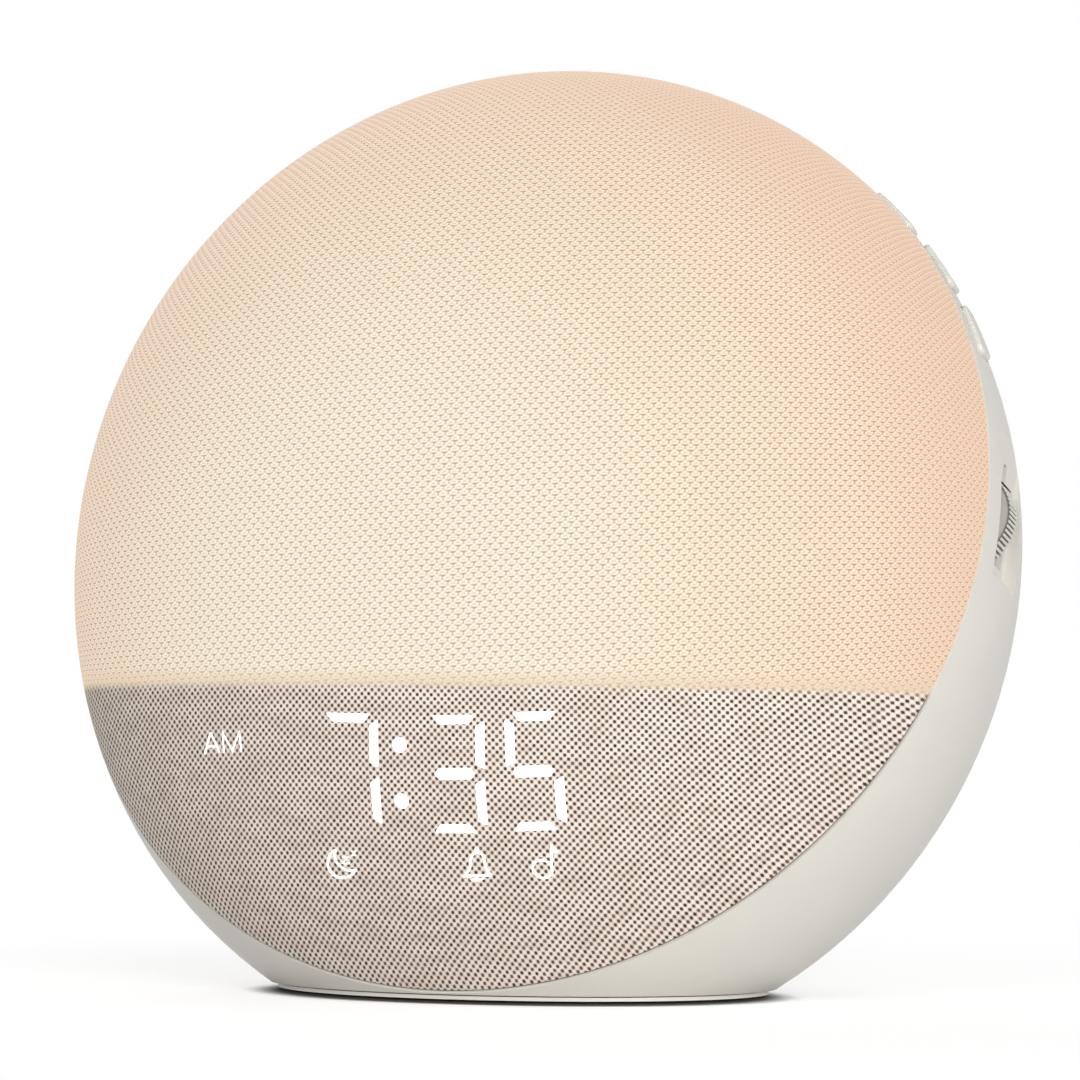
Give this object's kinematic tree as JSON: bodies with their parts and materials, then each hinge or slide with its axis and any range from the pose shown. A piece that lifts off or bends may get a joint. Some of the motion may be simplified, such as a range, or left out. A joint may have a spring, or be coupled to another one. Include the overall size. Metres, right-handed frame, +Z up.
{
  "type": "sunrise alarm clock",
  "caption": "Bedside sunrise alarm clock: flattened round body on a flat foot, glowing cloth front with a display behind it, edge keys and a ribbed dial.",
  "frame": {"origin": "on the table, under the middle of the round body", "axes": "+X to the viewer's right across the front, +Y to the back, +Z up"},
  "size_m": [0.1899, 0.126, 0.1754],
  "materials": {
    "housing": "satin",
    "front_cloth": "matte",
    "inner_plastic": "matte",
    "wheel_plastic": "satin",
    "steel": "satin",
    "bright_metal": "polished",
    "lead_jacket": "satin",
    "diffuser": "matte",
    "dark_panel": "matte",
    "light_guide": "matte",
    "circuit_board": "satin",
    "lamp": "gloss",
    "white_plastic": "matte",
    "chip": "matte",
    "soft_rubber": "matte",
    "ferrite": "matte",
    "copper_coil": "satin",
    "paper_cone": "matte"
  },
  "bodies": {
    "clock": {"base_plate": "housing", "base_screws": "steel", "board_capacitors": "bright_metal", "board_chips": "chip", "board_connectors": "white_plastic", "chassis": "white_plastic", "chassis_screws": "steel", "coin_cell": "bright_metal", "coin_cell_holder": "chip", "dc_jack": "chip", "dial_bracket": "steel", "dial_encoder": "bright_metal", "dial_lead": "lead_jacket", "dial_nut": "steel", "dial_screws": "steel", "diffuser_dome": "diffuser", "display_board": "circuit_board", "display_frame": "dark_panel", "display_guides": "light_guide", "display_leds": "lamp", "display_ribbon": "white_plastic", "dust_cap": "paper_cone", "foot_pad": "soft_rubber", "front_fabric": "front_cloth", "jack_nut": "bright_metal", "key_board": "circuit_board", "key_board_screws": "steel", "key_lead": "lead_jacket", "led_board": "circuit_board", "led_board_screws": "steel", "led_emitters": "lamp", "led_header": "chip", "light_baffle": "white_plastic", "light_reflector": "white_plastic", "lower_panel": "dark_panel", "main_board": "circuit_board", "main_board_screws": "steel", "power_lead": "lead_jacket", "radio_module": "bright_metal", "rear_housing": "housing", "speaker_basket": "steel", "speaker_cone": "paper_cone", "speaker_gasket": "soft_rubber", "speaker_lead": "lead_jacket", "speaker_magnet": "ferrite", "speaker_screws": "steel", "speaker_surround": "soft_rubber", "speaker_terminals": "copper_coil", "speaker_top_plate": "steel", "speaker_yoke": "steel", "tact_switches": "bright_metal", "voice_coil": "copper_coil"},
    "upper_key": {"upper_key": "housing", "upper_plunger": "inner_plastic"},
    "middle_key": {"middle_key": "housing", "middle_plunger": "inner_plastic"},
    "lower_key": {"lower_key": "housing", "lower_plunger": "inner_plastic"},
    "dial": {"dial_wheel": "wheel_plastic", "dial_shaft": "steel"}
  },
  "joints": [
    {"name": "upper_key_press", "type": "slide", "parent": "clock", "child": "upper_key", "axis": [-0.7838, -0.2831, -0.5527], "range_m": [0, 0.0005], "stiffness_N_per_m": 1500, "springref_m": -0.0004},
    {"name": "middle_key_press", "type": "slide", "parent": "clock", "child": "middle_key", "axis": [-0.7838, -0.2831, -0.5527], "range_m": [0, 0.0005], "stiffness_N_per_m": 1500, "springref_m": -0.0004},
    {"name": "lower_key_press", "type": "slide", "parent": "clock", "child": "lower_key", "axis": [-0.7838, -0.2831, -0.5527], "range_m": [0, 0.0005], "stiffness_N_per_m": 1500, "springref_m": -0.0004},
    {"name": "dial_turn", "type": "hinge", "parent": "clock", "child": "dial", "pos_m": [0.0847, 0.00546, 0.08873], "axis": [0, -0.9317, 0.3633], "continuous": true}
  ]
}
